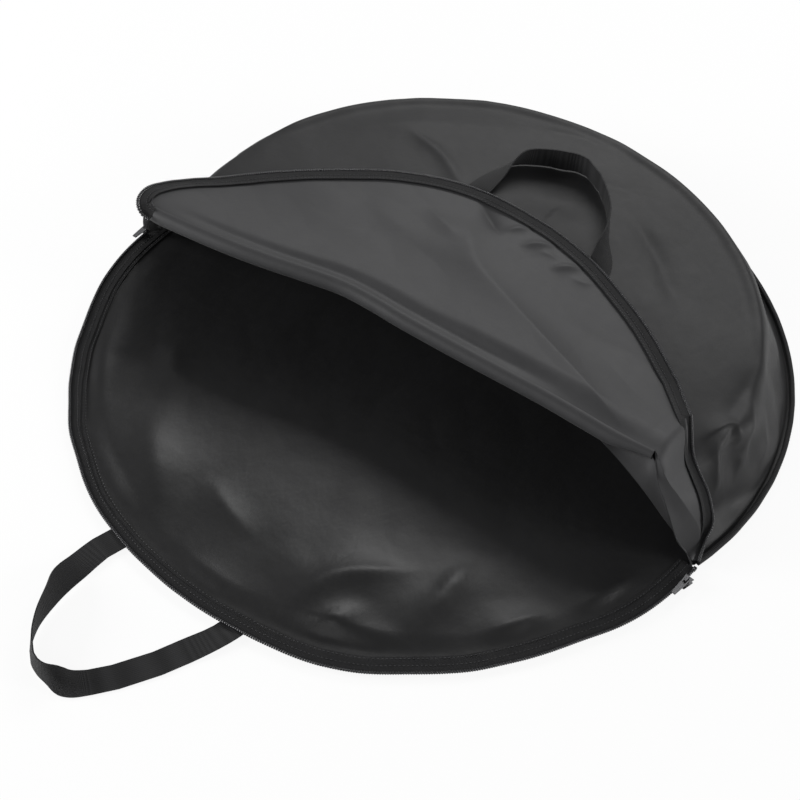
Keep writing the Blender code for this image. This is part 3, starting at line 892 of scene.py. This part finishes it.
edge_start = fold_to_plan(0, EDGE_START)
edge_end = fold_to_plan(0, EDGE_END)
edge_bend = ("flap", "flap_edge", (*edge_start, 0.1), (*edge_end, 0.1))
bm = grid(340, 120, flap_place, edge.length, 0.235)
flap = piece(
    "flap_cloth", thicken(bm, SHEET), flap_cloth,
    bend=edge_bend, stands_for=["flap_panel", "flap_border"], under=dome_cloth,
)
print("the flap has", len(flap.data.polygons), "faces")
print("the flap's edge is", round(edge.length, 3), "m long")

# %% [markdown]
# ## The flap's right corner
#
# Past its ridge the cloth drops steeply to the end of the zip, in two facets that meet in a crease.
# Stretching the flap down to that end would round the crease off, so the corner is laid between
# three lines: its front, its crease and its edge.

# %% Flap corner
POINT = (*fold_to_plan(ROLL_END, fold_sway(ROLL_END) + 0.0015), FOLD_HEIGHT + ROLL_RADIUS)
top_edge = (*fold_to_plan(*EDGE_POINTS[-1]), flap_height(*EDGE_POINTS[-1]))
corner_edge = Path([
    top_edge, (0.2995, 0.0525, 0.0825), (0.3139, 0.045, 0.072), (0.3338, 0.0392, 0.056),
    (0.3492, 0.0322, 0.033), (0.352, 0.0203, 0.019), (0.3592, -0.0012, 0.0108),
], 80)
corner_crease = Path([
    POINT, (0.3024, -0.0005, 0.096), (0.3183, 0.006, 0.076), (0.3333, 0.0134, 0.054),
    (0.3464, 0.0199, 0.033), (0.3538, 0.015, 0.0195), (0.3584, -0.0005, 0.0105),
], 80)
corner_front = Path([
    POINT, (0.2993, -0.005, 0.0915), (0.3122, -0.0046, 0.069), (0.3256, -0.0056, 0.048),
    (0.3375, -0.0043, 0.026), (0.349, 0.0, 0.012), (0.358, -0.0012, 0.0085),
], 80)


def corner_place(share_along, share_out):
    lines = (corner_front, corner_crease, corner_edge)
    front, middle, outer = (line.at(share_along) for line in lines)
    if share_out < 0.5:
        run = share_out * 2
        x, y, z = between(front, middle, run)
        return x, y, z - 0.0025 * sin(pi * run) * sin(pi * share_along)
    run = share_out * 2 - 1
    x, y, z = between(middle, outer, run)
    inner_share = smooth_step(share_along / 0.3)
    level = between(flap_height(*plan_to_fold(x, y)), z, inner_share)
    return x, y, level + inner_share * 0.001 * ripple(x, y, 60.0, 3.0) * sin(pi * run)


bm = grid(80, 48, corner_place, corner_edge.length, 0.08)
corner_bend = ("bag", "flap", (0.33, 0, 0.07), (0.29, 0, 0.1))
piece(
    "flap_corner", thicken(bm, SHEET), flap_cloth, bend=corner_bend, under=dome_cloth
)
print("the corner's edge is", round(corner_edge.length, 3), "m long")

# %% [markdown]
# ## The turned-in cloth under the corner
#
# Below its right end the fold opens into a small web of cloth, which falls from the flap's corner
# to the mouth's edge and closes the gap between them. It lies in shade, so a plain patch between
# two curves is enough.

# %% Corner web


def under_roll(along):
    x, y = fold_to_plan(along, fold_sway(along) + 0.001)
    spare = ROLL_RADIUS - roll_radius(along)
    return x, y, FOLD_HEIGHT - ROLL_RADIUS + 1.9 * spare + 0.0004


WEB_START = 0.21
web_top = Path(
    [under_fold(WEB_START)] + [under_roll(along) for along in (0.235, 0.26, 0.283)]
    + [tuple(corner_front.at(share)) for share in (0.16, 0.36, 0.56, 0.76, 0.9, 0.99)], 200
)
web_foot = Path([under_fold(WEB_START)] + MOUTH_RIGHT, 200)


def web_place(share_along, share_down):
    x, y, z = between(web_top.at(share_along), web_foot.at(share_along), share_down)
    return x, y + 0.004 * sin(pi * share_down) * sin(pi * share_along), z


bm = grid(90, 16, web_place, web_top.length, 0.02)
piece("corner_web", thicken(bm, 0.0008), flap_cloth, "bag")
print("the web under the corner is", round(web_top.length, 3), "m long")

# %% [markdown]
# ## The zip's half on the flap
#
# A tape along the edge with its binding, a row of coil teeth, and two rows of stitches. The teeth
# could be hundreds of small loops, but one band whose section swells once for each tooth looks
# the same from a step away and stays light.

# %% Flap zip
# Inner and outer side, lift and thickness of the tape and of its hem; pitch, width and height of
# the teeth; and where the teeth and the stitches lie.
TAPE = (-0.0105, 0.0046, 0.0016, 0.0007)
HEM = (-0.0105, -0.0052, 0.0023, 0.0006)
FLAP_TEETH = (0.0024, 0.004, 0.003)
TEETH_OUT, TEETH_LIFT = 0.0062, 0.0018
FLAP_SEAMS = (("flap_stitches_inner", -0.0092, 0.0026), ("flap_stitches_outer", -0.0036, 0.0019))
WELD = 0.00001


def edge_frame(share):
    """A point of the flap's edge and the way out from it, in the fold's plan."""
    step = 0.004
    before, here, after = edge.at(share - step), edge.at(share), edge.at(share + step)
    run = after - before
    out = np.array((-run[1], run[0])) / max(np.linalg.norm(run), 1e-9)
    return here, out


def edge_spot(share, outward, lift):
    here, out = edge_frame(share)
    along, depth = here + out * outward
    x, y = fold_to_plan(along, depth)
    inside = here + out * min(outward, 0.0)
    return x, y, flap_height(inside[0], inside[1]) + lift - 0.12 * max(outward, 0.0)


def flap_band(name, inner, outer, lift, thickness, material, rows, stands_for=()):
    def place(share_along, share_out):
        start = between(0.3, 1.0, smooth_step(share_along / 0.055))
        return edge_spot(share_along, between(inner * start, outer, share_out), lift)

    bm = grid(360, rows, place, edge.length, outer - inner)
    sheet = thicken(bm, thickness)
    return piece(name, sheet, material, bend=edge_bend, stands_for=stands_for)


def coil(name, spot, length, pitch, width, height, body=None, bend=None, stands_for=()):
    """A row of nylon coil teeth: a rounded band whose section swells once for each tooth."""
    count = int(length / pitch)

    def place(share_along, share_round):
        angle = share_round * 2 * pi
        phase = 2 * pi * (share_along * count) + 0.7 * sin(angle)
        swell = 0.8 + 0.2 * sin(phase)
        return spot(share_along, width / 2 * cos(angle) * swell, height / 2 * sin(angle) * swell)

    bm = grid(count * 5, 8, place, length, width)
    bmesh.ops.remove_doubles(bm, verts=bm.verts, dist=WELD)
    bmesh.ops.holes_fill(bm, edges=[item for item in bm.edges if item.is_boundary], sides=0)
    return piece(name, bm, teeth_stuff, body, bend, stands_for)


flap_band("flap_tape", *TAPE, tape_cloth, 4, ["flap_zip_tape"])
flap_band("flap_tape_hem", *HEM, binding_cloth, 3)


def flap_teeth_spot(share, out, up):
    return edge_spot(share, TEETH_OUT + out, TEETH_LIFT + up)


coil(
    "flap_coil", flap_teeth_spot, edge.length, *FLAP_TEETH,
    bend=edge_bend, stands_for=["flap_zip_teeth"],
)


def seam_spots(spot, length):
    """Places and directions of stitches along spot(share)."""
    count = int(length / STITCH_PITCH)
    spots = []
    for number in range(count):
        share = (number + 0.5) / count
        before, after = Vector(spot(share - 0.3 / count)), Vector(spot(share + 0.3 / count))
        spots.append(((before + after) / 2, after - before))
    return spots


for name, outward, lift in FLAP_SEAMS:
    spots = seam_spots(lambda share: edge_spot(share, outward, lift), edge.length)
    stitches(name, spots, bend=edge_bend)
print("the flap's zip has", int(edge.length / FLAP_TEETH[0]), "teeth")

# %% [markdown]
# ## The zip round the corner
#
# The same tape and teeth run on round the corner, down to the zip's end. They could be the flap's
# own strips drawn longer, but the corner is a piece of its own, so it has its own strips, which are
# drawn on to the place where the flap's strips end.

# %% Corner zip
corner_length = corner_edge.length


def corner_spot(share, outward, lift):
    """A point off the corner's edge: out level over the closed half, or in along the facet."""
    before, here, after = (corner_edge.at(share + step) for step in (-0.05, 0, 0.05))
    run = after - before
    out = np.array((-run[1], run[0], 0.0))
    out = out / max(np.linalg.norm(out), 1e-9)
    up = np.cross(run, out)
    up = up / max(np.linalg.norm(up), 1e-9)
    up = up if up[2] > 0 else -up
    if outward > 0:
        return here + out * outward + up * lift
    facet = max(float(np.linalg.norm(here - corner_crease.at(share))), 0.016)
    return np.array(corner_place(share, 1 + outward / facet / 2)) + up * lift


def joined_corner_spot(share, outward, lift):
    """The corner's spots, drawn on to the end of the flap's own zip."""
    gap = np.array(edge_spot(1, outward, lift)) - corner_spot(0, outward, lift)
    return tuple(corner_spot(share, outward, lift) + gap * (1 - min(share / 0.4, 1)) ** 2)


def corner_width(share):
    """The corner's bands narrow to this share of their width."""
    return between(1.0, 0.8, smooth_step(share / 0.4))


def corner_band(name, inner, outer, lift, thickness, material):
    def place(share_along, share_out):
        outward = between(inner, outer, share_out) * corner_width(share_along)
        return joined_corner_spot(share_along, outward, lift)

    bm = grid(60, 4, place, corner_length, outer - inner)
    return piece(name, thicken(bm, thickness), material, bend=corner_bend)


corner_band("corner_tape", *TAPE, tape_cloth)
corner_band("corner_tape_hem", *HEM, binding_cloth)


def corner_teeth_spot(share, out, up):
    return joined_corner_spot(share, TEETH_OUT * corner_width(share) + out, TEETH_LIFT + up)


coil("corner_coil", corner_teeth_spot, corner_length, *FLAP_TEETH, bend=corner_bend)
print("the corner's zip is", round(corner_length, 3), "m long")

# %% [markdown]
# ## The tape's left end
#
# At the left the tape drops from under the flap's tip to the rim. The rest of this end is hidden,
# so one curled strip is enough for it.

# %% Left tape
left_tape = Path([
    (-0.362, -0.0257, 0.008), (-0.3559, -0.036, 0.022), (-0.3457, -0.047, 0.042),
    (-0.3331, -0.0588, 0.064), (-0.3211, -0.0685, 0.084), (-0.3118, -0.0712, 0.096),
], 80)
TAPE_SIDE = np.array((0.79, 0.6, 0.1))
TAPE_FRONT = np.array((0.54, -0.84, 0.0))


def left_tape_place(share_along, share_out):
    """The tape's end, which drops from under the flap's tip to the rim, a little curled."""
    side = TAPE_SIDE * between(-0.003, 0.0125, share_out)
    curl = TAPE_FRONT * 0.002 * sin(pi * share_out)
    return tuple(left_tape.at(share_along) + side + curl)


bm = grid(60, 10, left_tape_place, left_tape.length, 0.0155)
piece("left_corner_tape", thicken(bm, 0.0009), tape_cloth, "bag")
print("the left tape is", round(left_tape.length, 3), "m long")

# %% [markdown]
# ## The zip's half on the back panel
#
# A binding over the rim, the tape on it, the coil that the sliders run on, and the stitches. They
# could be swept along a curve, but the sewn rim wanders a little, so they are laid out by the
# rim's own angle and wander with it.

# %% Near rim
RIM_ANGLE = 0.011
COIL_REACH, COIL_HEIGHT = 0.3643, 0.0055
RIM_TEETH = (0.0024, 0.0036, 0.0031)
RIM_SEAMS = (("rim_stitches_inner", 0.3478, 0.0039), ("rim_stitches_outer", 0.356, 0.0049))


def rim_spot(share, reach, height):
    angle = between(pi + RIM_ANGLE, 2 * pi - RIM_ANGLE, share)
    reach += rim_sway(angle)
    return reach * cos(angle), reach * sin(angle), height


def rim_band(name, inner, outer, top, thickness, material, stands_for):
    def place(share_along, share_out):
        narrow = 0.0045 * exp(-(((share_along - 0.36) / 0.15) ** 2))
        reach = between(inner + narrow, outer, share_out)
        ruffle = exp(-(((share_along - 0.78) / 0.14) ** 2))
        wrinkle = (0.0005 + 0.0011 * ruffle) * ripple(share_along, share_out * 0.02, 95.0, 1.0)
        return rim_spot(share_along, reach, top + wrinkle * (1 - share_out))

    bm = grid(420, 4, place, pi * NEAR_RADIUS, outer - inner)
    return piece(name, thicken(bm, thickness), material, "bag", stands_for=stands_for)


rim_band(
    "rim_binding", inner=0.3455, outer=0.3603, top=0.0037, thickness=0.0012,
    material=binding_cloth, stands_for=["back_rim_binding"],
)
rim_band(
    "rim_tape", inner=0.35, outer=0.3638, top=0.0047, thickness=0.0009,
    material=tape_cloth, stands_for=["back_zip_tape"],
)


def rim_teeth_spot(share, out, up):
    return rim_spot(share, COIL_REACH + out, COIL_HEIGHT + up)


coil_length = pi * 0.364
coil(
    "rim_coil", rim_teeth_spot, coil_length, *RIM_TEETH,
    body="bag", stands_for=["back_zip_teeth"],
)
for name, reach, height in RIM_SEAMS:
    spots = seam_spots(lambda share: rim_spot(share, reach, height), pi * reach)
    stitches(name, spots, "bag")
print("the rim's zip is", round(coil_length, 3), "m long")

# %% [markdown]
# ## The sewn seam
#
# A folded binding stands along the far half of the rim, with a row of stitches in it. A round
# pipe would look like cord. Folded tape is squarer, so the circle of its section is flattened.

# %% Sewn seam
FAR_END = 0.218


def far_spot(share, reach, height):
    angle = between(-FAR_END, pi + FAR_END, share)
    return reach * cos(angle), SEAM_SETBACK + reach * sin(angle), height


def far_binding(share_along, share_round):
    angle = share_round * 2 * pi
    across, up = cos(angle), sin(angle)
    across = (1 if across > 0 else -1) * abs(across) ** 0.6
    up = (1 if up > 0 else -1) * abs(up) ** 0.6
    sway = 0.0003 * ripple(share_along, 0.0, 60.0, 6.0)
    reach = SEAM_RADIUS + 0.0015 + 0.0028 * across + sway
    return far_spot(share_along, reach, 0.0052 + 0.0043 * up)


far_length = (pi + 0.436) * SEAM_RADIUS
bm = grid(420, 16, far_binding, far_length, 0.026)
bmesh.ops.remove_doubles(bm, verts=bm.verts, dist=WELD)
bmesh.ops.holes_fill(bm, edges=[item for item in bm.edges if item.is_boundary], sides=0)
piece("far_binding", bm, binding_cloth, "bag", stands_for=["closed_seam_binding"])
spots = seam_spots(lambda share: far_spot(share, SEAM_RADIUS + 0.004, 0.0062), far_length)
stitches("far_stitches", spots, "bag")
print("the sewn seam is", round(far_length, 3), "m long")

# %% [markdown]
# ## The carrying handles
#
# Each handle is one length of ribbed webbing. Its middle line runs along the floor or the crown,
# and the band rolls on to its edge where the photo shows it thin. Webbing is stiff across and
# keeps its width, so the strip is laid out from its middle line and never scaled.

# %% Handles
WEBBING_WIDTH, WEBBING = 0.026, 0.0016


def ribbon(name, points, ground, bend, stands_for):
    """Webbing along points of (x, y, roll in degrees), lying on ground(x, y)."""
    path = Path(points, 300)

    def place(share_along, share_out):
        here = path.at(share_along)
        run = path.at(share_along + 0.01) - path.at(share_along - 0.01)
        size = hypot(run[0], run[1])
        out_x, out_y = run[1] / size, -run[0] / size
        roll = radians(here[2])
        reach = (share_out - 0.5) * WEBBING_WIDTH
        x, y = here[0] + out_x * reach * cos(roll), here[1] + out_y * reach * cos(roll)
        rise = WEBBING_WIDTH / 2 * abs(sin(roll)) + reach * sin(roll)
        return x, y, ground(x, y) + WEBBING + rise

    run = [Vector(point[:2]) for point in path.points]
    length = sum((b - a).length for a, b in zip(run, run[1:]))
    bm = grid(150, 8, place, length, WEBBING_WIDTH)
    strip = thicken(bm, WEBBING * 0.9)
    piece(name, strip, webbing, bend=bend, stands_for=stands_for)
    print(name, "is", round(length, 3), "m of webbing")


FLOOR_GAP = 0.0003
BACK_LOOP = [
    (-0.08, -0.346, 0), (-0.0845, -0.359, 0), (-0.0865, -0.38, 2), (-0.0858, -0.405, 12),
    (-0.0828, -0.427, 42), (-0.0765, -0.447, 70), (-0.0672, -0.473, 88),
    (-0.0553, -0.4925, 96), (-0.043, -0.504, 98), (-0.03, -0.5105, 94),
    (-0.015, -0.51, 104), (-0.0015, -0.5035, 148), (0.009, -0.49, 176),
    (0.0258, -0.4656, 180), (0.0405, -0.4387, 181), (0.0539, -0.4049, 180),
    (0.066, -0.3735, 188), (0.07, -0.35, 184),
]
ribbon(
    "back_handle",
    BACK_LOOP,
    lambda x, y: FLOOR_GAP,
    ("bag", "back_handle", (0, -0.37, 0), (0, -0.375, 0)),
    ["back_handle_loop", "back_handle_left_tail", "back_handle_right_tail"],
)

# Points along the fold and back from it, with the roll.
FRONT_LOOP = [
    (-0.044, 0.19, 0), (-0.0435, 0.215, 0), (-0.0413, 0.24, 3), (-0.0365, 0.268, 22),
    (-0.0318, 0.293, 50), (-0.0235, 0.312, 74), (-0.012, 0.3238, 84), (0.0035, 0.3334, 87),
    (0.0177, 0.3386, 92), (0.0355, 0.3443, 87), (0.0555, 0.339, 84), (0.0745, 0.3233, 84),
    (0.0903, 0.3034, 86), (0.1052, 0.2772, 88), (0.1168, 0.2471, 72), (0.124, 0.222, 30),
    (0.1275, 0.203, 2), (0.1295, 0.185, 0), (0.132, 0.16, 0),
]


def front_ground(x, y):
    """The crown's cloth, on which the webbing lies, also where it is tucked under the flap."""
    return closed_half_height(x, y) + dome_relief(x, y)


ribbon(
    "front_handle",
    [(*fold_to_plan(along, depth), roll) for along, depth, roll in FRONT_LOOP],
    front_ground,
    ("flap_edge", "front_handle", (*fold_to_plan(0, 0.24), 0.1), (*fold_to_plan(0, 0.25), 0.1)),
    ["front_handle_loop", "front_handle_left_tail", "front_handle_right_tail"],
)

# %% [markdown]
# ## Metal
#
# The sliders, their pulls and the end stops are small and hard. They could be modelled again, but
# the CAD frame has their real shapes already, so they only take a nickel finish.

# %% Metal
for side in ("left", "right"):
    for kind in ("slider", "slider_pull", "zip_stop"):
        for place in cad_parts[f"{side}_{kind}"].material_slots:
            place.material = nickel
print("the metal is", nickel.name)
